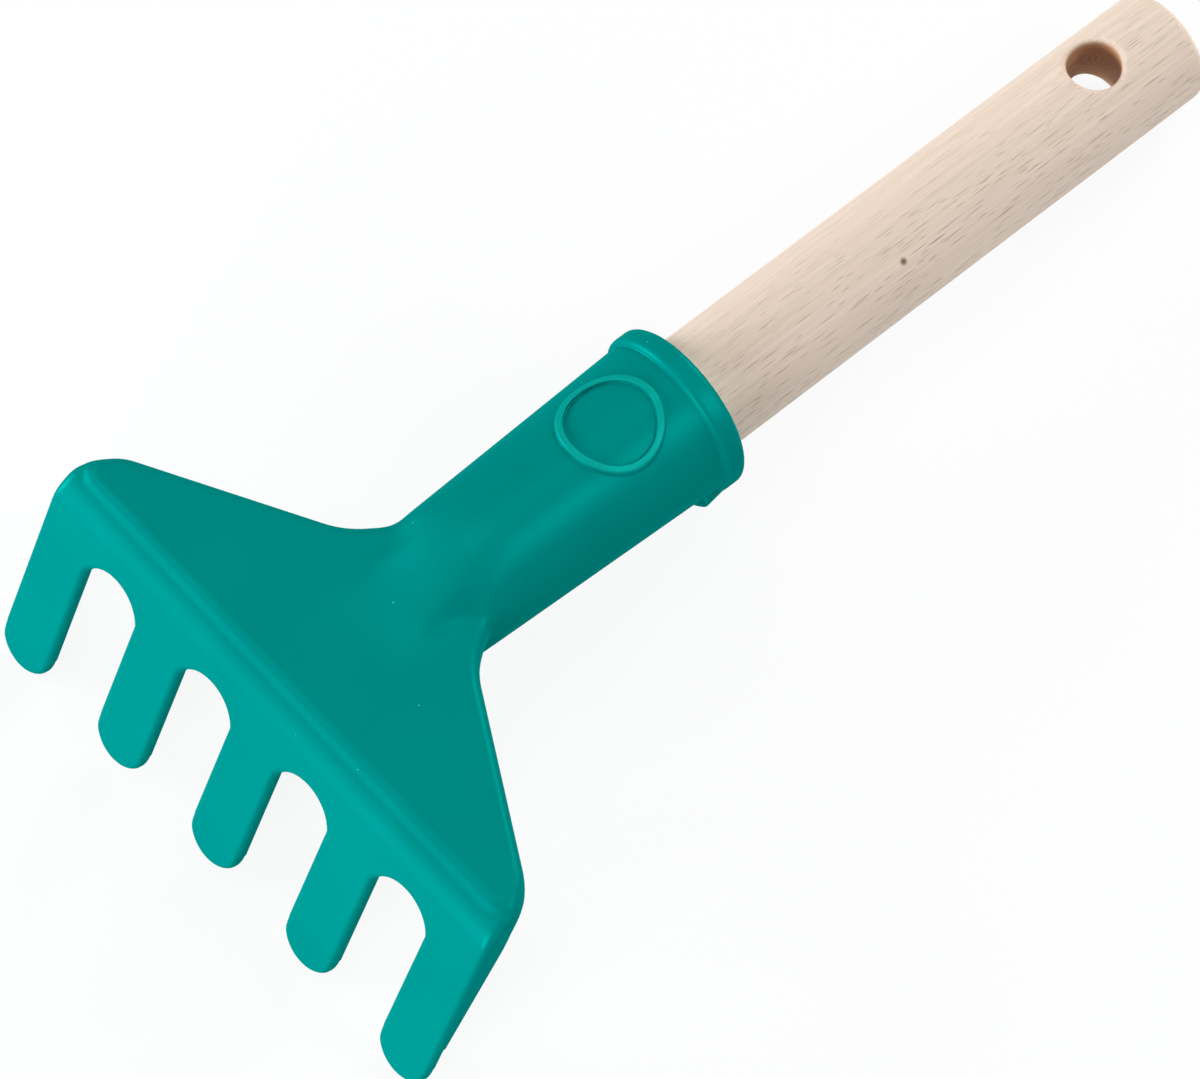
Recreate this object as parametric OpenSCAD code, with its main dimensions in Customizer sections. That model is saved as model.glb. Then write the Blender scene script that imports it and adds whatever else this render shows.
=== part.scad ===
// Child's sand rake: a moulded plastic head on a turned beech handle, held by one screw.
// Everything is drawn along the handle axis, with y = 0 at the mouth of the socket, y growing
// towards the hanging end and z up. The last step lays the rake down on its tine tips and handle end.

/* [Handle] */
// Diameter of the turned stick
handle_d = 22; // [18:0.5:26]
// Length of wood that shows beyond the socket
handle_out = 116; // [90:0.5:180]
// Rounding of the end edge
handle_end_r = 2.4; // [1:0.1:4]
// Diameter of the hole for hanging it up
hang_hole_d = 10; // [6:0.5:12]
// Distance from the handle's end to the middle of the hole
hang_hole_inset = 16.5; // [14:0.2:30]
// Distance of the hole's middle from the handle's centre plane
hang_hole_off = -2; // [-3:0.1:3]
// Lean of the drilled hole along the handle
hang_hole_lean = 12; // [-15:0.5:15]
// Lean of the drilled hole across the handle
hang_hole_skew = 7; // [-10:0.5:10]
// Length of the tapered plug inside the socket
plug_len = 48; // [40:0.5:50]
// Diameter of the plug's tip
plug_tip_d = 18.5; // [16:0.5:20]

/* [Socket] */
// Wall of the socket round the plug
socket_wall = 4.3; // [3:0.1:5]
// Length of the socket from its mouth to the neck of the blade
socket_len = 56; // [52:0.5:62]
// Width of the bead round the mouth
rim_w = 4.6; // [4:0.1:8]
// How far the bead stands proud of the socket
rim_proud = 0.8; // [0.5:0.1:1.6]
// Rounding of the bead's edges
rim_round = 1.2; // [0.5:0.1:1.9]
// Width of the deeper band under the mouth
band_w = 7.4; // [6:0.1:10]
// How far the deeper band stands proud at its back edge
band_proud = 2; // [1:0.1:3]
// Angle that the deeper band covers, centred underneath
band_angle = 124; // [90:2:160]
// Outside diameter of the raised ring on top
ring_d = 19; // [12:0.5:20]
// Width of the raised ring
ring_w = 1.4; // [0.8:0.1:2.5]
// Height of the raised ring
ring_h = 0.7; // [0.3:0.1:1.2]
// Distance from the mouth to the ring's centre
ring_set = 18; // [16:0.5:30]

/* [Blade] */
// Wall thickness of the moulding
wall = 2.6; // [2:0.1:3.2]
// Height of the blade's top above the handle axis
blade_top = 5.7; // [4:0.1:7]
// Depth of the blade's rim
blade_depth = 5; // [4.5:0.1:8]
// Rounding of the blade's top edge
edge_r = 1.8; // [1:0.1:2.4]
// Distance from the mouth to the root of the flanks
neck_set = 59.6; // [58:0.2:66]
// Angle of the flanks from the handle axis
flank_angle = 60.7; // [57:0.1:63]
// Radius of the blade's outer corners
corner_r = 11; // [6:0.5:14]
// Radius where the flanks run into the socket
neck_r = 17; // [4:0.5:20]
// How far the comb's top lies below the blade's top
ledge_drop = 0.9; // [0.4:0.1:1.4]
// Thickness of the ribs under the blade
rib_t = 2; // [1.4:0.1:3]

/* [Comb] */
// Number of tines
tine_count = 5; // [4:1:6]
// Distance between the tines' centres
tine_pitch = 25.5; // [22:0.1:28]
// Width of a tine
tine_w = 11.8; // [9:0.1:14]
// Straight length of a tine below the arches
tine_len = 25.2; // [20:0.2:36]
// Height of an arch above the straight sides
arch_rise = 4.8; // [3:0.1:5.8]
// Length of a tine's rounded tip
tip_rise = 4.2; // [2:0.1:5]
// How much longer the outermost tines are
tip_bow = 1.8; // [0:0.1:3]
// Lean of the tines from square to the handle
tine_lean = 21.7; // [10:0.1:30]
// Distance from the mouth to the comb's front corner
comb_set = 93.2; // [90:0.2:100]
// Depth of the comb's band, from its corner to the foot of the arches
comb_h = 13.6; // [11:0.1:18]
// Radius of the bend from blade to tines
bend_r = 4.5; // [3.4:0.1:6]
// Depth of the side cheeks at their foot
cheek_foot = 3; // [2.8:0.1:4.5]
// Distance from the foot of the arches to the end of the cheeks
cheek_len = 20; // [12:0.5:24]

/* [Screw] */
// Shank diameter of the retaining screw
screw_d = 3; // [2.5:0.1:4]
// Length of the screw's shank
screw_len = 11; // [8:0.5:13]
// Diameter of the screw's head
screw_head_d = 6; // [5:0.1:7.5]
// Height of the screw's head
screw_head_h = 2; // [1.5:0.1:2.4]
// Width of the driver slot in the head
screw_slot_w = 0.9; // [0.6:0.1:1.2]
// Distance from the mouth to the screw
screw_set = 26; // [16:0.5:36]

/* [Fit] */
// Gap between the plug and its socket, and round the screw
fit_gap = 0.08; // [0.04:0.01:0.2]

/* [Hidden] */

// Facets on round solids, on blended solids and on each rounded stretch of a profile
round_fn = 96;
blend_fn = 32;
arc_steps = 12;
roll_steps = 5;
// Length by which every cut runs past the face that it opens
overrun = 2;
// Stretch of the comb that lies under the blade
comb_lap = 9;
// Stretch of the neck that lies inside the socket, and how far it stays below the socket's skin
neck_lap = 1;
neck_step = 0.3;
// Place of the outer ribs, as a share of the neck's half width
rib_share = 0.6;

plastic_colour = "#00867b";
wood_colour = "#e4d2c3";
steel_colour = "#b9bcc0";

// Radius of the plug at a distance in from the mouth
function plug_r(inset) = handle_d / 2 - (handle_d - plug_tip_d) / 2 * inset / plug_len;
// Outer radius of the socket at a distance in from the mouth
function socket_r(inset) = plug_r(inset) + socket_wall;
// Points of an arc round a centre
function arc(centre, r, from, to) =
    [for (i = [0:arc_steps]) let (a = from + (to - from) * i / arc_steps)
        centre + r * [cos(a), sin(a)]];
// Radius of the circle that spans a chord of half width a with a rise h
function chord_r(a, h) = (a * a + h * h) / (2 * h);
// Easing that starts and ends level
function ease(t) = t * t * (3 - 2 * t);

neck_half = socket_r(socket_len);
// Half width of the socket's end at the level of the blade's top
neck_flat = sqrt(neck_half * neck_half - blade_top * blade_top);
head_half = (tine_count - 1) / 2 * tine_pitch + tine_w / 2;
slot_w = tine_pitch - tine_w;
ledge_z = blade_top - ledge_drop;
blade_bottom = blade_top - blade_depth;
front_r = wall + edge_r;
blade_front = -comb_set + bend_r * (1 - sin(tine_lean)) / cos(tine_lean);

// Directions in the side view, as y and z: down along the tines, and into their thickness
down = [-sin(tine_lean), -cos(tine_lean)];
inward = [cos(tine_lean), -sin(tine_lean)];
comb_corner = [-comb_set, ledge_z];
arch_foot = comb_corner + comb_h * down;
longest_tine = tine_len + tip_rise + tip_bow;

// The rake lies on the back edges of its outer tips and on the rounded edge of its handle
tip_back = arch_foot + longest_tine * down + wall * inward;
tip_front = arch_foot + longest_tine * down;
heel = [handle_out - handle_end_r, -(handle_d / 2 - handle_end_r)];
span = heel - tip_back;
rest_tilt = atan2(span[1], span[0]) - asin(handle_end_r / norm(span));
function laid_y(p) = p[0] * cos(rest_tilt) + p[1] * sin(rest_tilt);
function laid_z(p) = -p[0] * sin(rest_tilt) + p[1] * cos(rest_tilt);
front_y = laid_y(tip_front);
back_y = laid_y([heel[0], -heel[1]]) + handle_end_r;
middle_y = (front_y + back_y) / 2;

// Lays a shape drawn along the handle down on the ground, centred over the origin
module laid() {
    translate([0, -middle_y, -laid_z(tip_back)])
        rotate([-rest_tilt, 0, 0])
            children();
}

// Turns a side profile, drawn as y and z, into a solid across the rake's width
module across(width) {
    rotate([90, 0, 90])
        linear_extrude(width, center = true)
            children();
}

// Turns a front outline, drawn as x and height above the arches' feet, into a solid through the comb
module through_comb(depth) {
    translate([0, arch_foot[0], arch_foot[1]])
        rotate([90 - tine_lean, 0, 0])
            linear_extrude(depth, center = true)
                children();
}

// Revolves a profile, drawn as radius and distance in from the mouth, round the handle axis. A part
// of a turn is centred underneath.
module round_handle(angle = 360) {
    rotate([90, 0, 0])
        rotate([0, 0, 270 - angle / 2])
            rotate_extrude(angle = angle, $fn = round_fn)
                children();
}

// Direction of a flank in plan, its outward normal and the point where it leaves the socket
flank = [sin(flank_angle), -cos(flank_angle)];
flank_normal = [cos(flank_angle), sin(flank_angle)];
flank_root = [neck_flat, -neck_set];

// Closed outline from its right half
function both_sides(half) = concat(half, [for (i = [len(half) - 1:-1:0]) [-half[i][0], half[i][1]]]);

// Plan of the blade, drawn in by an inset and carried forward to a given front edge
function blade_plan(inset, front) = let (
        neck_run = neck_r * tan(flank_angle / 2),
        corner_y = front + front_r,
        corner_x = (flank_root * flank_normal - front_r - corner_y * flank_normal[1]) / flank_normal[0])
    both_sides(concat(
        [flank_root + [-inset, neck_run + edge_r]],
        arc(flank_root + [neck_r, neck_run], neck_r + inset, 180, 180 + flank_angle),
        arc([corner_x, corner_y], front_r - inset, flank_angle, -90)));

// Plan of the whole head from its flanks forward
function head_plan() = let (
        corner = flank_root + (head_half - neck_flat) / flank[0] * flank,
        corner_run = corner_r * tan(flank_angle / 2))
    both_sides(concat(
        [flank_root],
        arc(corner - [corner_r, corner_run], corner_r, flank_angle, 0),
        [[head_half, -2 * comb_set]]));

// Skin stretched over a row of rings that all have the same even number of points, each closed at the
// ends by strips from one half of the ring to the other
module loft(rings) {
    n = len(rings[0]);
    last = len(rings) - 1;
    strips = [for (j = [0:n / 2 - 2]) [j, j + 1, n - 2 - j, n - 1 - j]];
    sides = [for (k = [0:last - 1]) for (j = [0:n - 1]) let (a = k * n + j, b = k * n + (j + 1) % n)
        each [[a, b, a + n], [b, b + n, a + n]]];
    first_end = [for (s = strips) [s[3], s[2], s[1], s[0]]];
    last_end = [for (s = strips) [for (j = s) last * n + j]];
    polyhedron([for (ring = rings) each ring], concat(sides, first_end, last_end));
}

// Flared plate with a rolled top edge, open underneath
module blade() {
    roll = [for (i = [0:roll_steps]) let (a = 90 * i / roll_steps)
        [edge_r * (1 - cos(a)), blade_top - edge_r * (1 - sin(a))]];
    levels = concat([[0, blade_bottom]], roll);
    difference() {
        loft([for (l = levels) [for (p = blade_plan(l[0], blade_front)) [p[0], p[1], l[1]]]]);
        translate([0, 0, blade_bottom - overrun])
            linear_extrude(blade_depth - wall + overrun)
                polygon(blade_plan(wall, blade_front - comb_lap));
    }
}

// Side profile of the comb: a sheet that comes out under the blade and bends down into the tines
module comb_profile() {
    centre = comb_corner + [bend_r * (1 - sin(tine_lean)) / cos(tine_lean), -bend_r];
    foot = arch_foot + (longest_tine + overrun) * down;
    polygon(concat(
        [[blade_front + comb_lap, ledge_z]],
        arc(centre, bend_r, 90, 180 - tine_lean),
        [foot, foot + wall * inward],
        arc(centre, bend_r - wall, 180 - tine_lean, 90),
        [[blade_front + comb_lap, ledge_z - wall]]
    ));
}

// Front outline of the comb: a band cut by arches, with round-tipped tines below it
module comb_outline() {
    arch_r = chord_r(slot_w / 2, arch_rise);
    tip_r = chord_r(tine_w / 2, tip_rise);
    difference() {
        translate([-head_half, 0])
            square([2 * head_half, comb_h + comb_lap + bend_r]);
        for (i = [1:tine_count - 1])
            translate([i * tine_pitch - head_half + tine_w / 2 - tine_pitch / 2, arch_rise - arch_r])
                circle(arch_r, $fn = round_fn);
    }
    for (i = [0:tine_count - 1]) {
        place = 2 * i / (tine_count - 1) - 1;
        length = tine_len + tip_bow * place * place;
        translate([i * tine_pitch - head_half + tine_w / 2, 0]) {
            translate([-tine_w / 2, -length])
                square([tine_w, length]);
            intersection() {
                translate([0, -length - tip_rise + tip_r])
                    circle(tip_r, $fn = round_fn);
                translate([-tine_w / 2, -length - tip_rise])
                    square([tine_w, tip_rise]);
            }
        }
    }
}

// Keeps what lies within the plan of the head
module within_plan() {
    intersection() {
        children();
        translate([0, 0, -comb_set])
            linear_extrude(2 * comb_set)
                polygon(head_plan());
    }
}

// Bent row of tines
module comb() {
    within_plan()
        intersection() {
            across(2 * head_half)
                comb_profile();
            through_comb(2 * comb_set)
                comb_outline();
        }
}

// Stiffening cheeks behind the outer edges of the outermost tines
module cheeks() {
    end = arch_foot + cheek_len * down;
    within_plan()
        for (side = [-1, 1])
            translate([side * (head_half - wall / 2), 0, 0])
                across(wall)
                    polygon([
                        comb_corner + bend_r * down + wall / 2 * inward,
                        end + wall / 2 * inward,
                        end + cheek_foot * inward,
                        [blade_front + wall, blade_bottom],
                        [blade_front + wall, ledge_z - wall]
                    ]);
}

// Ribs under the blade that carry the pull of the tines back to the socket
module ribs() {
    for (side = [-1:1])
        translate([side * rib_share * neck_half, 0, 0])
            across(rib_t)
                polygon([
                    [-neck_set, blade_top - wall / 2],
                    [-neck_set, blade_bottom],
                    [blade_front + comb_lap, blade_bottom],
                    [blade_front, ledge_z - wall / 2]
                ]);
}

// Blend that flattens the socket's round end into the blade
module neck() {
    start = socket_len - neck_lap;
    length = neck_set - start + neck_half;
    half = neck_half - neck_step;
    loft([for (k = [0:arc_steps]) let (
            t = k / arc_steps,
            top = half + (blade_top - edge_r / 2 - half) * ease(t),
            bottom = -half + (blade_bottom + half) * ease(t))
        [for (j = [0:blend_fn - 1]) let (a = -360 * j / blend_fn)
            [half * cos(a), -start - length * t, (top + bottom) / 2 + (top - bottom) / 2 * sin(a)]]]);
}

// Profile of the bead round the mouth
module rim_profile() {
    outer = socket_r(0) + rim_proud;
    translate([0, rim_round])
        square([outer, rim_w - 2 * rim_round]);
    square([outer - rim_round, rim_w]);
    for (y = [rim_round, rim_w - rim_round])
        translate([outer - rim_round, y])
            circle(rim_round, $fn = round_fn);
}

// Solid taper of the socket, grown outwards by a skin
module socket_taper(skin) {
    round_handle()
        polygon([
            [0, 0],
            [socket_r(0) + skin, 0],
            [socket_r(socket_len) + skin, socket_len],
            [0, socket_len]
        ]);
}

// Tapered tube with a bead round its mouth, a deeper band below and a raised ring on top
module socket() {
    socket_taper(0);
    round_handle()
        rim_profile();
    round_handle(band_angle)
        polygon([
            [0, rim_round],
            [socket_r(0) + rim_proud, rim_round],
            [socket_r(band_w) + band_proud, band_w],
            [0, band_w]
        ]);
    intersection() {
        translate([0, -ring_set, 0])
            difference() {
                cylinder(h = 2 * handle_d, d = ring_d, $fn = round_fn);
                translate([0, 0, -overrun])
                    cylinder(h = 2 * handle_d + 2 * overrun, d = ring_d - 2 * ring_w, $fn = round_fn);
            }
        socket_taper(ring_h);
    }
}

// Tapered hole for the plug
module plug_bore() {
    round_handle()
        polygon([
            [0, -overrun],
            [handle_d / 2 + fit_gap, -overrun],
            [handle_d / 2 + fit_gap, 0],
            [plug_tip_d / 2 + fit_gap, plug_len],
            [plug_tip_d / 2 + fit_gap, plug_len + fit_gap],
            [0, plug_len + fit_gap]
        ]);
}

// Depth below the handle axis at which the screw's head is seated
screw_seat = plug_r(screw_set) + socket_wall - screw_head_h;

// Round shaft along the screw's axis, from one depth below the handle axis to another
module screw_shaft(d, from, to) {
    translate([0, -screw_set, -from])
        cylinder(h = from - to, d = d, $fn = round_fn);
}

// Hole in the socket and the plug for the screw
module screw_hole() {
    screw_shaft(screw_d + 2 * fit_gap, screw_seat + overrun, screw_seat - screw_len - fit_gap);
    screw_shaft(screw_head_d + 2 * fit_gap, screw_seat + 2 * screw_head_h, screw_seat);
}

// Moulded head: blade, comb, socket and their stiffening in one piece
module rake_head() {
    color(plastic_colour)
        laid()
            difference() {
                union() {
                    blade();
                    comb();
                    cheeks();
                    ribs();
                    neck();
                    socket();
                }
                plug_bore();
                screw_hole();
            }
}

// Hole for hanging the rake up, drilled by hand and a little off square
module hang_hole() {
    translate([hang_hole_off, handle_out - hang_hole_inset, 0])
        rotate([hang_hole_lean, hang_hole_skew, 0])
            cylinder(h = 2 * handle_d, d = hang_hole_d, center = true, $fn = round_fn);
}

// Turned handle with its tapered plug and the hole for hanging
module handle() {
    color(wood_colour)
        laid()
            difference() {
                rotate([-90, 0, 0])
                    rotate_extrude($fn = round_fn) {
                        polygon([
                            [0, -plug_len],
                            [plug_tip_d / 2, -plug_len],
                            [handle_d / 2, 0],
                            [handle_d / 2, handle_out - handle_end_r],
                            [0, handle_out - handle_end_r]
                        ]);
                        translate([0, handle_out - handle_end_r])
                            square([handle_d / 2 - handle_end_r, handle_end_r]);
                        translate([handle_d / 2 - handle_end_r, handle_out - handle_end_r])
                            intersection() {
                                circle(handle_end_r, $fn = round_fn);
                                square(handle_end_r);
                            }
                    }
                hang_hole();
                screw_hole();
            }
}

// Wood screw driven up from underneath, through the socket into the plug
module retaining_screw() {
    color(steel_colour)
        laid()
            difference() {
                union() {
                    screw_shaft(screw_d, screw_seat, screw_seat - screw_len);
                    screw_shaft(screw_head_d, screw_seat + screw_head_h, screw_seat);
                }
                translate([0, -screw_set, -screw_seat - screw_head_h])
                    cube([screw_head_d + overrun, screw_slot_w, screw_head_h], center = true);
            }
}

rake_head();
handle();
retaining_screw();
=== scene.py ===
# %% [markdown]
# # A child's sand rake
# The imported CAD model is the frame: it says where every piece sits, in metres, with the rake lying on
# its tine tips and the end of its handle. This lesson dresses that frame in three pieces: a moulded
# plastic head, a turned beech handle and the screw that holds them together.

# %% Load the frame
import math

import bpy
import numpy as np
from mathutils import Euler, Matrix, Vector


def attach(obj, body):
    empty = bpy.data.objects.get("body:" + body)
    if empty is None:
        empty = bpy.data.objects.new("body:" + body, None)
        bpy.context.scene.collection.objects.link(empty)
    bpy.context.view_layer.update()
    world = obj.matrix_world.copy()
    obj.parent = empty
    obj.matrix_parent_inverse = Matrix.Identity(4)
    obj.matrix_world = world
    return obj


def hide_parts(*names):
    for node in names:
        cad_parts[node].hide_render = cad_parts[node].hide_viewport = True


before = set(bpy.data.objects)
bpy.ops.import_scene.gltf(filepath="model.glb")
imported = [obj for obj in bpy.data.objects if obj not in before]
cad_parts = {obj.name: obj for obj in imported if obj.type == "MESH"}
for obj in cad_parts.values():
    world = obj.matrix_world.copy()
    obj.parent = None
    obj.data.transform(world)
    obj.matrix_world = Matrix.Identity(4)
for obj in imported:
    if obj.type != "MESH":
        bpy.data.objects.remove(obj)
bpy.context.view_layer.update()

print("CAD nodes:", sorted(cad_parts))

# %% [markdown]
# ## Sizes
# Every size below is one from the CAD source, in millimetres. As there, the rake is drawn along its
# handle: y is 0 at the mouth of the socket and grows towards the hanging end, and z is up. Drawing it
# square to its own axis keeps the formulas short, and one function lays the result down at the end.

# %% Sizes in millimetres
mm = 0.001
handle_d, handle_out, handle_end_r = 22, 116, 2.4
hang_hole_d, hang_hole_inset, hang_hole_off = 10, 16.5, -2
hang_hole_lean, hang_hole_skew = 12, 7
plug_len, plug_tip_d, fit_gap = 48, 18.5, 0.08
socket_wall, socket_len = 4.3, 56
rim_w, rim_proud, rim_round = 4.6, 0.8, 1.2
band_w, band_proud, band_angle = 7.4, 2, 124
ring_d, ring_w, ring_h, ring_set = 19, 1.4, 0.7, 18
wall, blade_top, blade_depth, edge_r = 2.6, 5.7, 5, 1.8
neck_set, flank_angle, corner_r, neck_r, ledge_drop = 59.6, 60.7, 11, 17, 0.9
rib_t, rib_share = 2, 0.6
tine_count, tine_pitch, tine_w, tine_len = 5, 25.5, 11.8, 25.2
arch_rise, tip_rise, tip_bow, tine_lean = 4.8, 4.2, 1.8, 21.7
comb_set, comb_h, bend_r, comb_lap = 93.2, 13.6, 4.5, 9
cheek_foot, cheek_len = 3, 20
screw_d, screw_len, screw_head_d, screw_head_h = 3, 11, 6, 2
screw_slot_w, screw_set = 0.9, 26

plug_taper = (handle_d - plug_tip_d) / 2 / plug_len
neck_half = handle_d / 2 - plug_taper * socket_len + socket_wall
neck_flat = math.sqrt(neck_half ** 2 - blade_top ** 2)
head_half = (tine_count - 1) / 2 * tine_pitch + tine_w / 2
slot_w = tine_pitch - tine_w
ledge_z, blade_bottom = blade_top - ledge_drop, blade_top - blade_depth
lean_sin, lean_cos = math.sin(math.radians(tine_lean)), math.cos(math.radians(tine_lean))
blade_front = -comb_set + bend_r * (1 - lean_sin) / lean_cos
screw_seat = handle_d / 2 - plug_taper * screw_set + socket_wall - screw_head_h
print("blade front at y =", round(blade_front, 2), "half width", head_half)

# %% [markdown]
# ## Laying the rake down
# On the ground the rake rests on the back edges of its outer tips and on the rounded edge of its
# handle. The tilt that does this follows from those two points, so it is worked out here in the same
# way as in the CAD source.

# %% From the handle's axis to the ground
down = np.array([-lean_sin, -lean_cos])
inward = np.array([lean_cos, -lean_sin])
arch_foot = np.array([-comb_set, ledge_z]) + comb_h * down
tip_front = arch_foot + (tine_len + tip_rise + tip_bow) * down
tip_back = tip_front + wall * inward
heel = np.array([handle_out - handle_end_r, handle_end_r - handle_d / 2])
span = heel - tip_back
tilt = math.atan2(span[1], span[0]) - math.asin(handle_end_r / math.hypot(*span))


def laid(points):
    """Points drawn along the handle, in millimetres, laid on the ground in the frame, in metres."""
    x, y, z = np.moveaxis(np.asarray(points, float), -1, 0)
    along = y * math.cos(tilt) + z * math.sin(tilt)
    height = -y * math.sin(tilt) + z * math.cos(tilt)
    return np.stack([x, along - middle_y, height - ground], -1) * mm


middle_y, ground = 0, 0
ends = laid([[0, *tip_front], [0, *tip_back], [0, heel[0], -heel[1]]]) / mm
middle_y, ground = (ends[0, 1] + ends[2, 1] + handle_end_r) / 2, ends[1, 2]

# %% [markdown]
# ## Moulded shapes as distance fields
# Everything that comes out of a mould has soft edges and filleted corners. They could be made with
# bevels on a boolean model, but bevels break where many roundings meet. A distance field doesn't: it
# gives each point in space its distance to the surface, negative inside, and two such fields can be
# met, joined or cut with any radius between them. The mesh is then drawn where the field is zero.

# %% Meeting, joining and cutting fields
def meet(a, b, r, c=0.0):
    """What lies in both shapes, with the edge between them rounded to a radius. c is the cosine of the
    angle between the two surfaces' normals, 0 where they are square to each other."""
    a, b = a + r, b + r
    edge = np.sqrt(np.maximum(a * a + b * b - 2 * c * a * b, 0) / (1 - c * c))
    return np.where((a > c * b) & (b > c * a), edge, np.maximum(a, b)) - r


def join(a, b, r, c=0.0):
    """Both shapes as one, with a fillet between them."""
    return -meet(-a, -b, r, c)


def cut(a, b, r):
    """The first shape without the second, with the new edge rounded."""
    return meet(a, -b, r)


def ease(start, end, value):
    """0 up to the start, 1 from the end on, and a smooth step between them."""
    t = np.clip((value - start) / (end - start), 0, 1)
    return t ** 3 * (t * (6 * t - 15) + 10)


# %% [markdown]
# ## From a field to a mesh
# A grid of points is filled with distances, at first one for each block of points, and then in full only
# in the blocks that the surface can reach. Each grid cell that the surface crosses gets one point, and
# each grid edge that crosses it gets a quad between the four cells round that edge. The points are then
# slid along the field's slope until they lie on the surface, which also gives exact smooth normals.

# %% Skin of a field
def slope(field, points, reach=0.02):
    """Direction in which a field grows fastest, at each point."""
    grown = []
    for axis in range(3):
        shift = np.zeros(3)
        shift[axis] = reach
        grown.append(field(*(points + shift).T) - field(*(points - shift).T))
    grown = np.stack(grown, -1)
    return grown / np.maximum(np.linalg.norm(grown, axis=1), 1e-9)[:, None]


def distances(field, low, high, step, block=6, batch=400000, margin=1.4):
    """Values of a field on a grid, exact only in the blocks near its surface."""
    blocks = np.ceil(np.subtract(high, low) / (step * block)).astype(int)
    middles = low + np.moveaxis(np.indices(blocks) * block + (block - 1) / 2, 0, -1) * step
    rough = field(*np.moveaxis(middles, -1, 0))
    d = rough.repeat(block, 0).repeat(block, 1).repeat(block, 2)
    close = np.argwhere(np.abs(rough) < margin * block * step)
    within = np.indices((block, block, block)).reshape(3, -1).T
    for some in np.array_split(close, len(close) * block ** 3 // batch + 1):
        at = (some[:, None] * block + within).reshape(-1, 3)
        d[tuple(at.T)] = field(*(low + at * step).T)
    return d


def skin(field, low, high, step):
    """Points and quads of the surface where a field is zero, inside a box."""
    d = distances(field, low, high, step)
    inside = d < 0
    corners = [(i, j, k) for i in (0, 1) for j in (0, 1) for k in (0, 1)]
    n = np.array(d.shape) - 1
    filled = sum(inside[i:n[0] + i, j:n[1] + j, k:n[2] + k].astype(np.int8) for i, j, k in corners)
    cell = np.argwhere((filled > 0) & (filled < 8))
    index = np.full(n, -1, np.int32)
    index[tuple(cell.T)] = np.arange(len(cell))
    at = [d[tuple((cell + c).T)] for c in corners]
    total, count = np.zeros((len(cell), 3)), np.zeros(len(cell))
    for a in range(8):
        for b in range(a + 1, 8):
            if sum(abs(p - q) for p, q in zip(corners[a], corners[b])) == 1:
                crossed = (at[a] < 0) != (at[b] < 0)
                t = np.where(crossed, at[a] / np.where(crossed, at[a] - at[b], 1), 0)
                spot = np.array(corners[a]) + t[:, None] * np.subtract(corners[b], corners[a])
                total += spot * crossed[:, None]
                count += crossed
    points = np.array(low) + (cell + total / count[:, None]) * step
    quads = []
    for k in range(3):
        u, v = np.eye(3, dtype=int)[(k + 1) % 3], np.eye(3, dtype=int)[(k + 2) % 3]
        ahead = np.roll(inside, -1, k)
        edge = np.argwhere(inside != ahead)
        edge = edge[(edge < n).all(1) & (edge > 0).all(1)]
        ring = np.stack([index[tuple((edge - s).T)] for s in (u + v, v, 0 * u, u)], 1)
        outward = inside[tuple(edge.T)]
        quads.append(np.where(outward[:, None], ring, ring[:, ::-1]))
    for _ in range(3):
        move = field(*points.T)[:, None] * slope(field, points)
        points -= np.clip(move, -step / 2, step / 2)
    return points, np.concatenate(quads)


def moulding(name, field, low, high, step, keep):
    """A piece whose surface is where a field is zero, thinned to a share of its faces."""
    points, quads = skin(field, low, high, step)
    mesh = bpy.data.meshes.new(name)
    mesh.from_pydata(points, [], quads)
    mesh.update()
    piece = bpy.data.objects.new(name, mesh)
    bpy.context.collection.objects.link(piece)
    thin = piece.modifiers.new("thin", "DECIMATE")
    thin.ratio = keep
    graph = bpy.context.evaluated_depsgraph_get()
    piece.data = bpy.data.meshes.new_from_object(piece.evaluated_get(graph))
    piece.modifiers.clear()
    bpy.data.meshes.remove(mesh)
    piece.data.name = name
    drawn = np.empty((len(piece.data.vertices), 3))
    piece.data.vertices.foreach_get("co", drawn.ravel())
    normals = slope(field, drawn)
    piece.data.vertices.foreach_set("co", laid(drawn).ravel())
    piece.data.shade_smooth()
    turned = (laid(normals) - laid(np.zeros(3))) / mm
    piece.data.normals_split_custom_set_from_vertices(turned)
    piece.data.update()
    triangles = sum(len(p.vertices) - 2 for p in piece.data.polygons)
    print(name, "from", len(quads), "quads to", triangles, "triangles")
    return piece, drawn


# %% [markdown]
# ## The blade and its comb
# The blade is a flared plate with a rolled edge, hollow underneath. The comb is a sheet that comes out
# from under the blade's front edge, a little lower, and bends down into the tines. In the field, the
# bend is two planes met with the bend's radius, and the sheet is what lies less than its thickness
# below them. The front outline, a band with arches and round-tipped tines, cuts it to shape, a little
# wider at the back than at the front, so that the moulding can leave its mould. The roundings, and the
# places along y where the neck starts and ends to flow, are this model's own sizes.

# %% Blade and comb
flank_cos, flank_sin = math.cos(math.radians(flank_angle)), math.sin(math.radians(flank_angle))
arch_r = (slot_w ** 2 / 4 + arch_rise ** 2) / (2 * arch_rise)
tip_r = (tine_w ** 2 / 4 + tip_rise ** 2) / (2 * tip_rise)
tine_edge_r, tip_corner_r, small_r, draft = 1.0, 0.8, 0.6, 0.15
nose_top, nose_side, nose_below = (-44, -77), (-51, -60), (-57, -65)
nose_crest, nose_waist = 5, (2, -4)
ledge_side, blade_tip_r, roll_r = 1.2, 4.0, 2.0


def flank_field(x, y):
    """Distance out from the blade's slanting flanks, in plan."""
    return (np.abs(x) - neck_flat) * flank_cos + (y + neck_set) * flank_sin


def corner_field(x, y, inset):
    """Distance out from the flanks and the sides, rounded where they meet; the sides may lie further in."""
    return meet(flank_field(x, y), np.abs(x) - head_half + inset, corner_r - inset, flank_cos)


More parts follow.
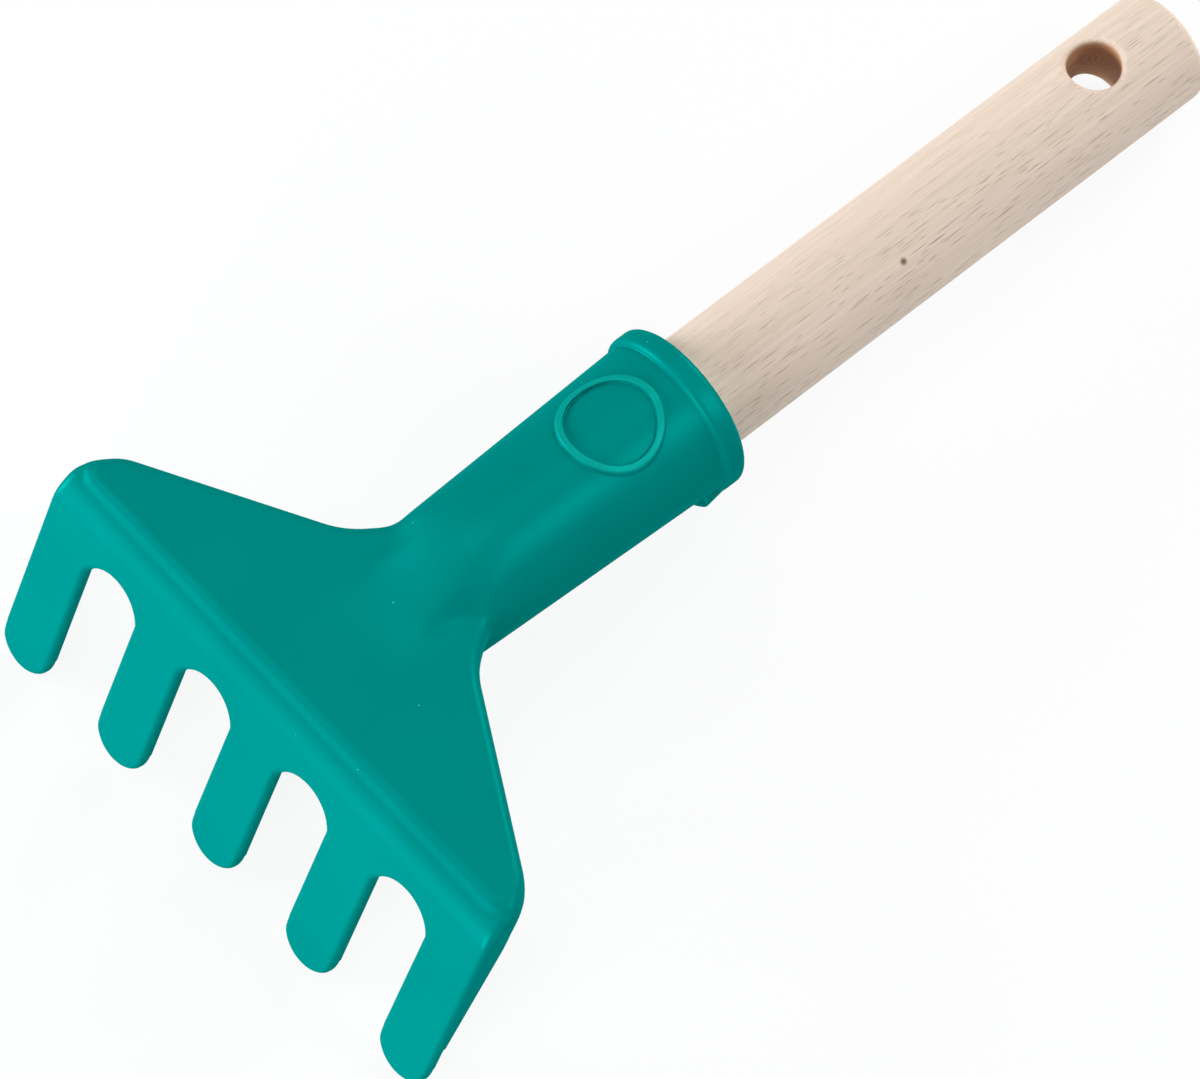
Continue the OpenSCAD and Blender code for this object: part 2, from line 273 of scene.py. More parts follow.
def blade_plan(x, y):
    """Distance out from the blade's outline, in plan."""
    flank = join(corner_field(x, y, ledge_side), np.abs(x) - neck_flat, neck_r, flank_cos)
    return meet(flank, blade_front - y, blade_tip_r)


def slab_field(x, y, z):
    """The blade as a solid plate with a rolled top edge."""
    return meet(meet(blade_plan(x, y), z - blade_top, roll_r), blade_bottom - z, small_r)


def hollow_field(x, y, z):
    """The space under the blade, from the neck to the comb, between three ribs."""
    hollow = meet(flank_field(x, y) + wall, z - (blade_top - wall), small_r)
    hollow = meet(np.maximum(hollow, blade_front - comb_lap - y), y - nose_top[1], small_r)
    beside = np.abs(np.abs(x) - rib_share * neck_half)
    rib = np.minimum(beside, np.abs(x)) - rib_t / 2
    rib = np.maximum(rib, (blade_front + ledge_z + wall - y - z) / math.sqrt(2))
    return cut(hollow, rib, small_r)


def comb_field(x, y, z):
    """Bent sheet cut into arches and tines, with a cheek behind each outer edge."""
    up = comb_h + (y + comb_set) * lean_sin + (z - ledge_z) * lean_cos
    face = -(y + comb_set) * lean_cos + (z - ledge_z) * lean_sin
    outer = meet(z - ledge_z, face, bend_r)
    sheet = np.maximum(np.abs(outer + wall / 2) - wall / 2, y - blade_front - comb_lap)
    tine = np.clip(np.round(x / tine_pitch), -(tine_count // 2), tine_count // 2)
    side = np.abs(x - tine * tine_pitch)
    length = tine_len + tip_bow * (2 * tine / (tine_count - 1)) ** 2
    arch = np.hypot(side - tine_pitch / 2, np.maximum(up - arch_rise + arch_r, 0)) - arch_r
    between = np.where(np.abs(x) < head_half - tine_w / 2, side, 0) - tine_w / 2
    band = np.minimum(between, -arch) - draft * np.clip(-outer, 0, wall)
    below = tip_r - tip_rise - length - up
    tip = np.hypot(np.minimum(side, tine_w / 2), np.maximum(below, 0)) - tip_r - np.maximum(-below, 0)
    plan = corner_field(x, y, 0)
    comb = meet(meet(meet(band, tip, tip_corner_r), sheet, tine_edge_r), plan, tine_edge_r)
    rim_r = tine_edge_r + (roll_r - tine_edge_r) * ease(comb_h / 2, comb_h, up)
    comb = np.maximum(comb, meet(outer, plan, rim_r))
    end = arch_foot + cheek_len * down + cheek_foot * inward
    top = np.array([blade_front + wall, blade_bottom])
    run = (top - end) / np.hypot(*(top - end))
    behind = (y - end[0]) * run[1] - (z - end[1]) * run[0]
    cheek = meet(-plan - wall, join(behind, blade_bottom - z, edge_r), small_r)
    cheek = meet(cheek, -up - cheek_len, small_r)
    cheek = meet(np.maximum(cheek, outer + wall / 2), plan, tine_edge_r)
    return np.minimum(comb, np.maximum(cheek, y - blade_front - comb_lap))


# %% [markdown]
# ## The socket and the neck
# The socket is a slightly tapered tube with a bead round its mouth, a deeper band below the bead and a
# plain raised ring on top. At the neck its round section flows into the blade's flat one, slowly on top
# and quickly at the sides. Fields make that easy: there the field is a mix of the tube's and the plate's,
# and the mix changes smoothly along the handle. It makes the head look poured rather than assembled.

# %% Socket, neck and the whole head
taper_cos = math.cos(math.atan(plug_taper))
groove_r, ring_edge_r, ring_foot_r, lug_r, ledge_r = 0.25, 0.4, 0.1, 2.0, 1.0


def taper_field(x, y, z, skin_out):
    """Distance out from the tapered plug, grown by a skin."""
    return (np.hypot(x, z) - handle_d / 2 - plug_taper * y - skin_out) * taper_cos


def socket_field(x, y, z):
    """Tapered tube that flows into the blade, still without its bore."""
    tube = taper_field(x, y, z, socket_wall)
    sideways = ease(nose_crest, neck_half, np.abs(x))
    below = ease(*nose_waist, z)
    at_side = (1 - below) * ease(*nose_side, y) + below * ease(*nose_below, y)
    flow = (1 - sideways) * ease(*nose_top, y) + sideways * at_side
    body = np.maximum((1 - flow) * tube + flow * slab_field(x, y, z), y)
    body = cut(body, hollow_field(x, y, z), small_r)
    out = np.hypot(x, z) - handle_d / 2 - socket_wall
    bead = meet(out - rim_proud, np.abs(y + rim_w / 2) - rim_w / 2, rim_round)
    body = join(body, bead, groove_r)
    rise = (band_proud - rim_proud) / band_w
    band = meet(out - rim_proud + rise * y - plug_taper * y, -y - band_w, small_r)
    turn = np.abs(np.arctan2(x, -z)) - math.radians(band_angle / 2)
    band = meet(np.maximum(band, y + rim_w / 2), turn * np.hypot(x, z), lug_r)
    body = join(body, band, groove_r)
    ring = np.abs(np.hypot(x, y + ring_set) - (ring_d - ring_w) / 2) - ring_w / 2
    ring = meet(np.maximum(ring, -z), tube - ring_h, ring_edge_r)
    return join(body, ring, ring_foot_r)


def screw_hole_field(x, y, z, d, from_depth, to_depth):
    """Round hole along the screw's axis between two depths below the handle's axis."""
    depth = np.abs(z + (from_depth + to_depth) / 2) - (from_depth - to_depth) / 2
    return np.maximum(np.hypot(x, y + screw_set) - d / 2, depth)


def drilled_for_screw(body, x, y, z):
    """A field with the screw's hole and the seat of its head taken out."""
    shank = (screw_d + 2 * fit_gap, screw_seat + screw_head_h, screw_seat - screw_len - fit_gap)
    seat = (screw_head_d + 2 * fit_gap, screw_seat + 2 * screw_head_h, screw_seat)
    for d, from_depth, to_depth in (shank, seat):
        body = np.maximum(body, -screw_hole_field(x, y, z, d, from_depth, to_depth))
    return body


def head_field(x, y, z):
    """The whole moulding."""
    past_blade = blade_plan(x, y)
    ledge_width = past_blade - corner_field(x, y, 0)
    soft = ledge_r * ease(-roll_r, 0, past_blade) * ease(0, ledge_side, ledge_width) + small_r / 4
    head = join(socket_field(x, y, z), comb_field(x, y, z), soft)
    bore = np.maximum(taper_field(x, y, z, fit_gap), -y - plug_len - fit_gap)
    return drilled_for_screw(cut(head, bore, groove_r), x, y, z)


head, _ = moulding("moulded_head", head_field, (-60, -126, -38), (60, 3, 19), step=0.27, keep=0.2)

# %% [markdown]
# ## The handle
# A stick of beech, turned round, eased at its end and drilled across by hand, so that the hole leans a
# little. The same fields make it, because they ease the mouths of the hole where the drill's edge was
# sanded off. Each point also remembers how deep in the hole it lies, for the wood's colour.

# %% Handle
hole_ease, turned_edge = 1.3, 0.3
lean_a, skew_b = math.radians(hang_hole_lean), math.radians(hang_hole_skew)
hole_axis = (math.cos(lean_a) * math.sin(skew_b), -math.sin(lean_a), math.cos(lean_a) * math.cos(skew_b))


def stick_field(x, y, z):
    """Turned stick with its tapered plug, not drilled yet."""
    grip = np.hypot(x, z) - handle_d / 2 - plug_taper * np.minimum(y, 0)
    return meet(meet(grip, y - handle_out, handle_end_r), -y - plug_len, turned_edge)


def hole_field(x, y, z):
    """Distance out from the drilled hole."""
    from_middle = (x - hang_hole_off, y - handle_out + hang_hole_inset, z)
    along = sum(p * a for p, a in zip(from_middle, hole_axis))
    return np.sqrt(sum((p - along * a) ** 2 for p, a in zip(from_middle, hole_axis))) - hang_hole_d / 2


def handle_field(x, y, z):
    """The whole handle."""
    return drilled_for_screw(cut(stick_field(x, y, z), hole_field(x, y, z), hole_ease), x, y, z)


low, high = (-12, -50, -12), (12, 118, 12)
handle, drawn = moulding("beech_handle", handle_field, low, high, step=0.32, keep=0.35)
below_skin = np.clip(-stick_field(*drawn.T), 0, handle_d / 2)
in_hole = np.where(hole_field(*drawn.T) < hole_ease, below_skin, 0)
bore = handle.data.attributes.new("bore_depth", "FLOAT", "POINT")
bore.data.foreach_set("value", in_hole)
print("deepest point of the hole, mm:", round(in_hole.max(), 1))

# %% [markdown]
# ## One function for nodes
# Both the screw's geometry and the materials are node trees. This function adds one node, with its
# settings, and fills its inputs: a socket is linked, and anything else is set as a value.

# %% Add a node
def add(tree, kind, inputs=None, **settings):
    """A new node with its settings; inputs are values or sockets to link from."""
    made = tree.nodes.new(kind)
    for name, value in settings.items():
        setattr(made, name, value)
    for name, value in (inputs or {}).items():
        if isinstance(value, bpy.types.NodeSocket):
            tree.links.new(value, made.inputs[name])
        else:
            made.inputs[name].default_value = value
    return made


def as_drawn(tree, coords):
    """Object coordinates turned back from the ground to the way the rake was drawn, in metres."""
    there = (0, (middle_y * math.cos(tilt) - ground * math.sin(tilt)) * mm,
             (middle_y * math.sin(tilt) + ground * math.cos(tilt)) * mm)
    turned = add(tree, "ShaderNodeMapping", {"Vector": coords, "Rotation": (tilt, 0, 0), "Location": there})
    return turned.outputs[0]


def linear(hex_colour):
    """An sRGB hex colour as linear red, green, blue and alpha."""
    parts = [int(hex_colour[i:i + 2], 16) / 255 for i in (1, 3, 5)]
    return [c / 12.92 if c <= 0.04045 else ((c + 0.055) / 1.055) ** 2.4 for c in parts] + [1.0]


# %% [markdown]
# ## Materials: moulded polypropylene
# The head is injection-moulded polypropylene in one deep teal, mass-coloured, with the satin skin that a
# blasted mould leaves. The eye gets a broad soft sheen with no sharp reflections, a faint cloudiness
# where the melt flowed, and a few pale specks of sand dust. The sheen carries the pigment's tint.

# %% Moulded polypropylene
plastic = bpy.data.materials.new("satin_moulded_polypropylene")
plastic.use_nodes = True
tree = plastic.node_tree
shader = tree.nodes["Principled BSDF"]
coords = add(tree, "ShaderNodeTexCoord").outputs["Object"]
cloud = add(tree, "ShaderNodeTexNoise", {"Vector": coords, "Scale": 1 / (18 * mm), "Detail": 2.0})
flow = add(tree, "ShaderNodeMix", {"Factor": cloud.outputs["Fac"], "A": linear("#007c75"),
                                   "B": linear("#00837b")}, data_type="RGBA")
speck = add(tree, "ShaderNodeTexVoronoi", {"Vector": coords, "Scale": 1 / (8 * mm)})
near = add(tree, "ShaderNodeMath", {0: speck.outputs["Distance"], 1: 0.022}, operation="LESS_THAN")
dust_and_ring_highlight = add(tree, "ShaderNodeMix", {"Factor": near.outputs[0], "A": flow.outputs["Result"],
                                     "B": linear("#3aa99d")}, data_type="RGBA")
# The raised ring's top is painted a little lighter: a painted highlight where the rounded ring catches the
# light.
level = as_drawn(tree, coords)
flat = add(tree, "ShaderNodeVectorMath", {0: level, 1: (1, 1, 0)}, operation="MULTIPLY")
out = add(tree, "ShaderNodeVectorMath", {0: flat.outputs[0], 1: (0, -ring_set * mm, 0)}, operation="DISTANCE")
off = add(tree, "ShaderNodeMath", {0: out.outputs["Value"], 1: (ring_d - ring_w) / 2 * mm},
          operation="SUBTRACT")
off = add(tree, "ShaderNodeMath", {0: off.outputs[0]}, operation="ABSOLUTE")
ring_top = add(tree, "ShaderNodeMapRange", {"Value": off.outputs[0], "From Min": ring_w / 2 * mm,
                                            "From Max": 0.4 * mm, "To Max": 0.45})
upper = add(tree, "ShaderNodeSeparateXYZ", {"Vector": level})
upper = add(tree, "ShaderNodeMath", {0: upper.outputs["Z"], 1: 0.0}, operation="GREATER_THAN")
painted_ring_highlight = add(tree, "ShaderNodeMath", {0: ring_top.outputs[0], 1: upper.outputs[0]}, operation="MULTIPLY")
# The painted highlight on the ring goes over the specks of dust.
dust_and_ring_highlight = add(tree, "ShaderNodeMix", {"Factor": painted_ring_highlight.outputs[0], "A": dust_and_ring_highlight.outputs["Result"],
                                     "B": linear("#12ab9d")}, data_type="RGBA")
tree.links.new(dust_and_ring_highlight.outputs["Result"], shader.inputs["Base Color"])
rough = add(tree, "ShaderNodeMapRange", {"Value": cloud.outputs["Fac"], "To Min": 0.40, "To Max": 0.46})
tree.links.new(rough.outputs["Result"], shader.inputs["Roughness"])
# The blasted skin has a grain of about 0.1 mm; it is drawn at 0.5 mm, the finest that shows.
grain = add(tree, "ShaderNodeTexNoise", {"Vector": coords, "Scale": 1 / (0.5 * mm), "Detail": 2.0})
bump = add(tree, "ShaderNodeBump", {"Height": grain.outputs["Fac"], "Strength": 0.08, "Distance": 0.05 * mm})
tree.links.new(bump.outputs["Normal"], shader.inputs["Normal"])
shader.inputs["IOR"].default_value = 1.49
shader.inputs["Metallic"].default_value = 0.25
shader.inputs["Specular IOR Level"].default_value = 0.0
shader.inputs["Specular Tint"].default_value = (0.02, 1.0, 0.97, 1.0)
print("plastic nodes:", len(tree.nodes))

# %% [markdown]
# ## Materials: sanded beech
# Bare steamed beech, turned and sanded, is a pale pinkish cream. Its mark is the fleck: short fine darker
# dashes along the grain, where rays were cut across, dense on one face and sparse on the next. Wide weak
# streaks run the whole length. The pattern is stretched along the handle, which lies tilted in the frame,
# so a Mapping node first brings it back to the way it was drawn. A pin knot sits half-way along, the cut
# end shows the year rings, and inside the hole the fibres, cut across, look brown.

# %% Sanded beech
beech = bpy.data.materials.new("bare_sanded_beech")
beech.use_nodes = True
tree = beech.node_tree
shader = tree.nodes["Principled BSDF"]
coords = add(tree, "ShaderNodeTexCoord").outputs["Object"]
level = as_drawn(tree, coords)
streak_at = add(tree, "ShaderNodeMapping", {"Vector": level, "Scale": (1, 0.03, 1)})
streak = add(tree, "ShaderNodeTexNoise", {"Vector": streak_at.outputs[0], "Scale": 1 / (3.5 * mm),
                                          "Detail": 3.0})
fibre_at = add(tree, "ShaderNodeMapping", {"Vector": level, "Scale": (1, 0.02, 1)})
fibre = add(tree, "ShaderNodeTexNoise", {"Vector": fibre_at.outputs[0], "Scale": 1 / (0.5 * mm),
                                         "Detail": 2.0})
wood = add(tree, "ShaderNodeMix", {"Factor": streak.outputs["Fac"], "A": linear("#dfc6b0"),
                                   "B": linear("#ebd6c4")}, data_type="RGBA").outputs["Result"]
fine = add(tree, "ShaderNodeMapRange", {"Value": fibre.outputs["Fac"], "From Min": 0.35, "From Max": 0.65,
                                       "To Min": 0.93, "To Max": 1.03})
wood = add(tree, "ShaderNodeVectorMath", {0: wood, 1: fine.outputs[0]}, operation="MULTIPLY").outputs[0]
# Flecks are up to 5.5 mm long and ticks 3 mm, both 0.2 mm wide, one to each cell of a stretched pattern.
face = add(tree, "ShaderNodeSeparateXYZ", {"Vector": level})
sided = add(tree, "ShaderNodeMapRange", {"Value": face.outputs["X"], "From Min": -9 * mm, "From Max": 10 * mm,
                                        "To Min": 0.15, "To Max": 0.8})
for stretch, cell, wide, narrow in ((0.035, 0.4, 0.24, 0.1), (0.07, 0.5, 0.2, 0.07)):
    fleck_at = add(tree, "ShaderNodeMapping", {"Vector": level, "Scale": (1, stretch, 1)})
    fleck = add(tree, "ShaderNodeTexVoronoi", {"Vector": fleck_at.outputs[0], "Scale": 1 / (cell * mm)})
    dash = add(tree, "ShaderNodeMapRange", {"Value": fleck.outputs["Distance"], "From Min": wide,
                                            "From Max": narrow})
    marked = add(tree, "ShaderNodeMath", {0: dash.outputs[0], 1: sided.outputs[0]}, operation="MULTIPLY")
    wood = add(tree, "ShaderNodeMix", {"Factor": marked.outputs[0], "A": wood, "B": linear("#8e6c52")},
               data_type="RGBA").outputs["Result"]
# The pin knot is 1.2 mm across, and the year rings on the end are 1.6 mm apart, round a pith off to one side.
knot_y, knot_turn = 44.5, math.radians(38)
knot_at = (handle_d / 2 * mm * math.sin(knot_turn), knot_y * mm, handle_d / 2 * mm * math.cos(knot_turn))
knot = add(tree, "ShaderNodeVectorMath", {0: level, 1: knot_at}, operation="DISTANCE")
knot = add(tree, "ShaderNodeMapRange", {"Value": knot.outputs["Value"], "From Min": 0.9 * mm,
                                        "From Max": 0.3 * mm})
wood = add(tree, "ShaderNodeMix", {"Factor": knot.outputs[0], "A": wood, "B": linear("#7a5a41")},
           data_type="RGBA").outputs["Result"]
pith = (-16 * mm, 0, -14 * mm)
across = add(tree, "ShaderNodeVectorMath", {0: level, 1: (1, 0, 1)}, operation="MULTIPLY")
year = add(tree, "ShaderNodeVectorMath", {0: across.outputs[0], 1: pith}, operation="DISTANCE")
year = add(tree, "ShaderNodeMath", {0: year.outputs["Value"], 1: 2 * math.pi / (1.6 * mm)},
           operation="MULTIPLY")
year = add(tree, "ShaderNodeMath", {0: year.outputs[0]}, operation="SINE")
late = add(tree, "ShaderNodeMapRange", {"Value": year.outputs[0], "From Min": 0.2, "From Max": 1.0,
                                        "To Min": 0.1, "To Max": 0.5})
at_end = add(tree, "ShaderNodeMapRange", {"Value": face.outputs["Y"], "From Min": (handle_out - 1.2) * mm,
                                         "From Max": (handle_out - 0.2) * mm})
late = add(tree, "ShaderNodeMath", {0: late.outputs[0], 1: at_end.outputs[0]}, operation="MULTIPLY")
wood = add(tree, "ShaderNodeMix", {"Factor": late.outputs[0], "A": wood, "B": linear("#b58f6c")},
           data_type="RGBA").outputs["Result"]
# The hole's wall goes from a tan lip to brown, with the rings that the drill left about 0.8 mm apart.
depth = add(tree, "ShaderNodeAttribute", attribute_name="bore_depth")
turn_marks = add(tree, "ShaderNodeTexNoise", {"Vector": coords, "Scale": 1 / (1.2 * mm), "Detail": 2.0})
rings = add(tree, "ShaderNodeMath", {0: depth.outputs["Fac"], 1: 2 * math.pi / 0.8}, operation="MULTIPLY")
rings = add(tree, "ShaderNodeMath", {0: rings.outputs[0], 1: turn_marks.outputs["Fac"]}, operation="ADD")
rings = add(tree, "ShaderNodeMath", {0: rings.outputs[0]}, operation="SINE")
browned = add(tree, "ShaderNodeMapRange", {"Value": depth.outputs["Fac"], "From Min": 0.2, "From Max": 2,
                                          "To Max": 0.8})
ringed = add(tree, "ShaderNodeMath", {0: rings.outputs[0], 1: 0.2, 2: 1.0}, operation="MULTIPLY_ADD")
browned = add(tree, "ShaderNodeMath", {0: browned.outputs[0], 1: ringed.outputs[0]}, operation="MULTIPLY",
              use_clamp=True)
wood = add(tree, "ShaderNodeMix", {"Factor": browned.outputs[0], "A": wood, "B": linear("#c48c50")},
           data_type="RGBA").outputs["Result"]
tree.links.new(wood, shader.inputs["Base Color"])
shader.inputs["Roughness"].default_value = 0.62
shader.inputs["IOR"].default_value = 1.5
shader.inputs["Specular IOR Level"].default_value = 0.3
bump = add(tree, "ShaderNodeBump", {"Height": fibre.outputs["Fac"], "Strength": 0.25, "Distance": 0.06 * mm})
tree.links.new(bump.outputs["Normal"], shader.inputs["Normal"])
print("beech nodes:", len(tree.nodes))

# %% [markdown]
# ## Materials: zinc-plated steel
# The screw is bright zinc plate: a grey metal with a slightly cloudy gloss.

# %% Zinc-plated steel
zinc = bpy.data.materials.new("zinc_plated_steel")
zinc.use_nodes = True
tree = zinc.node_tree
shader = tree.nodes["Principled BSDF"]
coords = add(tree, "ShaderNodeTexCoord").outputs["Object"]
spangle = add(tree, "ShaderNodeTexNoise", {"Vector": coords, "Scale": 1 / (0.8 * mm), "Detail": 3.0})
plated = add(tree, "ShaderNodeMix", {"Factor": spangle.outputs["Fac"], "A": linear("#aeb2b6"),
                                     "B": linear("#c9cccf")}, data_type="RGBA")
tree.links.new(plated.outputs["Result"], shader.inputs["Base Color"])
gloss = add(tree, "ShaderNodeMapRange", {"Value": spangle.outputs["Fac"], "To Min": 0.25, "To Max": 0.42})
tree.links.new(gloss.outputs["Result"], shader.inputs["Roughness"])
shader.inputs["Metallic"].default_value = 1.0
print("zinc nodes:", len(tree.nodes))

# %% [markdown]
# ## The screw
# One slotted wood screw comes up from below, through the socket into the plug. Geometry Nodes suit a
# screw, because a few sizes give all of it: a threaded shank swept along a spiral, a head, and a slot
# cut out of the head. The tree draws it standing on its head, and the mesh is then put in its place.

# %% Screw
screw_tree = bpy.data.node_groups.new("slotted_screw", "GeometryNodeTree")
sizes = {"Shank Diameter": screw_d, "Shank Length": screw_len, "Head Diameter": screw_head_d,
         "Head Height": screw_head_h, "Slot Width": screw_slot_w}
for name, value in sizes.items():
    socket = screw_tree.interface.new_socket(name, in_out="INPUT", socket_type="NodeSocketFloat")
    socket.default_value = value
screw_tree.interface.new_socket("Geometry", in_out="OUTPUT", socket_type="NodeSocketGeometry")
given = add(screw_tree, "NodeGroupInput").outputs
thread_h, thread_pitch, threaded_share = 0.35, 1.2, 0.92
core_r = add(screw_tree, "ShaderNodeMath", {0: given["Shank Diameter"], 1: 0.5, 2: -thread_h},
             operation="MULTIPLY_ADD")
core = add(screw_tree, "GeometryNodeMeshCylinder", {"Vertices": 32, "Radius": core_r.outputs[0],
                                                    "Depth": given["Shank Length"]})
half_up = add(screw_tree, "ShaderNodeMath", {0: given["Shank Length"], 1: 0.5}, operation="MULTIPLY")
lifted = add(screw_tree, "ShaderNodeCombineXYZ", {"Z": half_up.outputs[0]})
core = add(screw_tree, "GeometryNodeTransform", {"Geometry": core.outputs["Mesh"],
                                                 "Translation": lifted.outputs[0]})
turns = add(screw_tree, "ShaderNodeMath", {0: given["Shank Length"], 1: 1 / thread_pitch},
            operation="MULTIPLY")
run = add(screw_tree, "ShaderNodeMath", {0: given["Shank Length"], 1: threaded_share}, operation="MULTIPLY")
spiral = add(screw_tree, "GeometryNodeCurveSpiral",
             {"Resolution": 24, "Rotations": turns.outputs[0], "Start Radius": core_r.outputs[0],
              "End Radius": core_r.outputs[0], "Height": run.outputs[0]})
crest = add(screw_tree, "GeometryNodeCurvePrimitiveCircle", {"Resolution": 6, "Radius": thread_h})
thread = add(screw_tree, "GeometryNodeCurveToMesh",
             {"Curve": spiral.outputs["Curve"], "Profile Curve": crest.outputs["Curve"], "Fill Caps": True})
head_r = add(screw_tree, "ShaderNodeMath", {0: given["Head Diameter"], 1: 0.5}, operation="MULTIPLY")
crown = add(screw_tree, "GeometryNodeMeshCylinder", {"Vertices": 64, "Radius": head_r.outputs[0],
                                                    "Depth": given["Head Height"]})
slot_size = add(screw_tree, "ShaderNodeCombineXYZ", {"X": given["Slot Width"], "Y": 2 * screw_head_d,
                                                    "Z": given["Head Height"]})
blade_cut = add(screw_tree, "GeometryNodeMeshCube", {"Size": slot_size.outputs[0]})
half_head = add(screw_tree, "ShaderNodeMath", {0: given["Head Height"], 1: -0.5}, operation="MULTIPLY")
sunk = add(screw_tree, "ShaderNodeCombineXYZ", {"Z": half_head.outputs[0]})
blade_cut = add(screw_tree, "GeometryNodeTransform", {"Geometry": blade_cut.outputs["Mesh"],
                                                     "Translation": sunk.outputs[0]})
slotted = add(screw_tree, "GeometryNodeMeshBoolean",
              {"Mesh 1": crown.outputs["Mesh"], "Mesh 2": blade_cut.outputs["Geometry"]},
              operation="DIFFERENCE")
slotted = add(screw_tree, "GeometryNodeTransform", {"Geometry": slotted.outputs["Mesh"],
                                                    "Translation": sunk.outputs[0]})
whole = add(screw_tree, "GeometryNodeJoinGeometry")
for part in (core.outputs[0], thread.outputs[0], slotted.outputs[0]):
    screw_tree.links.new(part, whole.inputs[0])
real = add(screw_tree, "GeometryNodeRealizeInstances", {"Geometry": whole.outputs[0]})
painted = add(screw_tree, "GeometryNodeSetMaterial", {"Geometry": real.outputs[0], "Material": zinc})
add(screw_tree, "NodeGroupOutput", {"Geometry": painted.outputs[0]})

screw = bpy.data.objects.new("slotted_screw", bpy.data.meshes.new("slotted_screw_start"))
bpy.context.collection.objects.link(screw)
build = screw.modifiers.new("build", "NODES")
build.node_group = screw_tree
for item in screw_tree.interface.items_tree:
    if item.in_out == "INPUT":
        build[item.identifier] = float(sizes[item.name])
graph = bpy.context.evaluated_depsgraph_get()
screw.data = bpy.data.meshes.new_from_object(screw.evaluated_get(graph))
screw.modifiers.clear()
stood = np.empty((len(screw.data.vertices), 3))
screw.data.vertices.foreach_get("co", stood.ravel())
screw.data.vertices.foreach_set("co", laid(stood + [0, -screw_set, -screw_seat]).ravel())
screw.data.update()
print("screw faces:", len(screw.data.polygons))

# %% [markdown]
# ## Riding on the frame
# The rake has no joints, so its one body is the root. Each piece stands for the CAD node that it dresses,
# which is hidden.

# %% Ride and replace
for piece, material, node_name, slot_name in ((head, plastic, "rake_head", "plastic"),
                                              (handle, beech, "handle", "wood"),
                                              (screw, zinc, "retaining_screw", "steel")):
    piece.data.materials.clear()
    piece.data.materials.append(material)
    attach(piece, "root")
    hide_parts(node_name)
    print(piece.name, "stands for", node_name)

# %% [markdown]
# ## Floor, light and background
# A pale floor catches a soft shadow. For the camera it is mostly its own even white, so that the shadow
# stays faint. Two cool key lights stand low in front, at the left and right of what the bend mirrors, and
# light the tines' faces. One behind and one overhead keep the rest even, and a small one high on the right
# draws a band of sheen along the socket. The world adds little light, but is white where it is seen.

# %% Floor
def seen_directly(tree):
    """1 for rays from the camera, a reflection or a see-through surface, and 0 for those that carry light."""
    path = add(tree, "ShaderNodeLightPath").outputs
    shown = path["Is Camera Ray"]
    for kind in ("Is Glossy Ray", "Is Transmission Ray"):
        shown = add(tree, "ShaderNodeMath", {0: shown, 1: path[kind]}, operation="MAXIMUM").outputs[0]
    return shown


floor_mesh = bpy.data.meshes.new("floor")
floor_half = 12
square = [(-floor_half, -floor_half, 0), (floor_half, -floor_half, 0),
          (floor_half, floor_half, 0), (-floor_half, floor_half, 0)]
floor_mesh.from_pydata(square, [], [(0, 1, 2, 3)])
floor = bpy.data.objects.new("floor", floor_mesh)
bpy.context.collection.objects.link(floor)
pale = bpy.data.materials.new("pale_floor")
pale.use_nodes = True
tree = pale.node_tree
tree.nodes.clear()
matte = add(tree, "ShaderNodeBsdfDiffuse", {"Color": linear("#f6f6f6")})
even = add(tree, "ShaderNodeEmission", {"Color": linear("#ffffff"), "Strength": 1.0})
evenness = add(tree, "ShaderNodeMath", {0: seen_directly(tree), 1: 0.88}, operation="MULTIPLY")
blend = add(tree, "ShaderNodeMixShader", {0: evenness.outputs[0], 1: matte.outputs[0], 2: even.outputs[0]})
add(tree, "ShaderNodeOutputMaterial", {"Surface": blend.outputs[0]})
floor_mesh.materials.append(pale)
print("floor side, m:", 2 * floor_half)

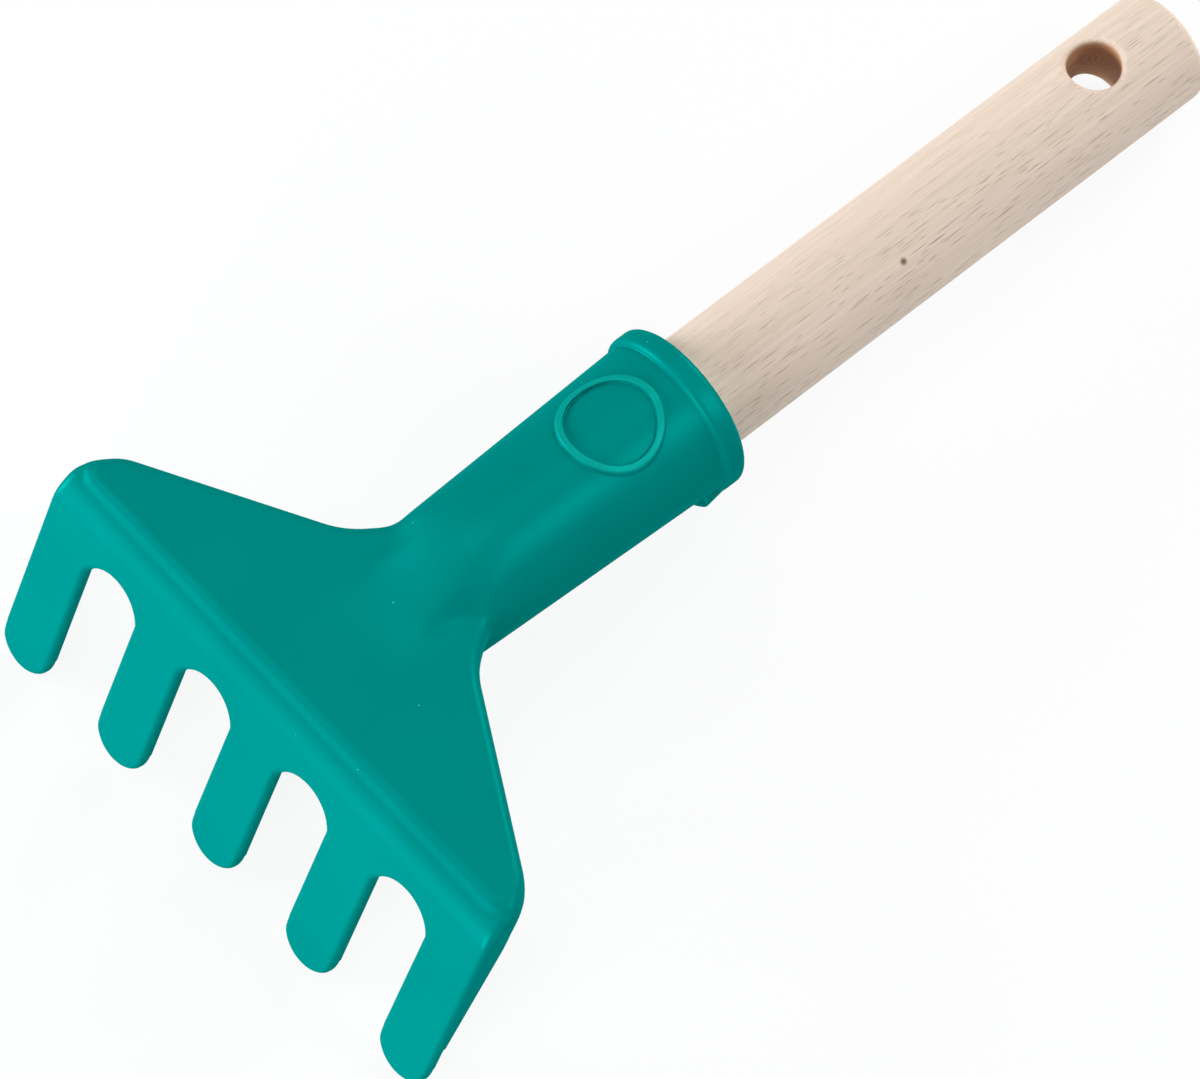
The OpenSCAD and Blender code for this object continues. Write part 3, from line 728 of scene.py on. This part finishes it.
# %% Lamps and world
lamp_away = 1.2


def softbox(name, towards, side, watts, colour=(1.0, 1.0, 1.0)):
    """A square lamp that shines at the rake from a direction; its side is in metres."""
    lamp = bpy.data.lights.new(name, "AREA")
    lamp.shape, lamp.size, lamp.energy, lamp.color = "SQUARE", side, watts, colour
    holder = bpy.data.objects.new(name, lamp)
    bpy.context.collection.objects.link(holder)
    way = Vector(towards).normalized()
    holder.location = way * lamp_away
    holder.rotation_euler = way.to_track_quat("Z", "Y").to_euler()
    print(name, "at", [round(v, 2) for v in holder.location])


cool = (0.86, 0.93, 1.0)
softbox("key_left", (-0.75, -0.6, 0.25), 0.6, 13.5, cool)
softbox("key_right", (0.15, -0.93, 0.3), 0.6, 12, cool)
softbox("back", (-0.15, 0.88, 0.45), 0.6, 8)
softbox("overhead", (-0.1, 0.1, 1.0), 0.6, 2.6)
softbox("sheen", (0.59, 0.44, 0.68), 0.4, 5.0, cool)

world = bpy.data.worlds.new("studio")
bpy.context.scene.world = world
world.use_nodes = True
tree = world.node_tree
tree.nodes.clear()
strength = add(tree, "ShaderNodeMapRange", {"Value": seen_directly(tree), "To Min": 0.04, "To Max": 1.0})
sky = add(tree, "ShaderNodeBackground", {"Color": linear("#ffffff"), "Strength": strength.outputs[0]})
add(tree, "ShaderNodeOutputWorld", {"Surface": sky.outputs[0]})
bpy.context.scene.view_settings.view_transform = "Standard"

# %% [markdown]
# ## Camera
# The photograph was taken from about a metre, high over the rake's right front. Its place and angles were
# found by fitting the CAD model's outline to the photograph's, for a picture of 1200 by 1079 pixels.

# %% Camera
lens = bpy.data.cameras.new("camera")
lens.lens, lens.sensor_width, lens.sensor_fit = 180.38, 36, "HORIZONTAL"
camera = bpy.data.objects.new("camera", lens)
bpy.context.collection.objects.link(camera)
camera.location = (0.3594, -0.26259, 0.96971)
camera.rotation_euler = Euler([math.radians(a) for a in (23.769, 3.391, 48.675)])
bpy.context.scene.camera = camera
print("camera at", [round(v, 3) for v in camera.location])
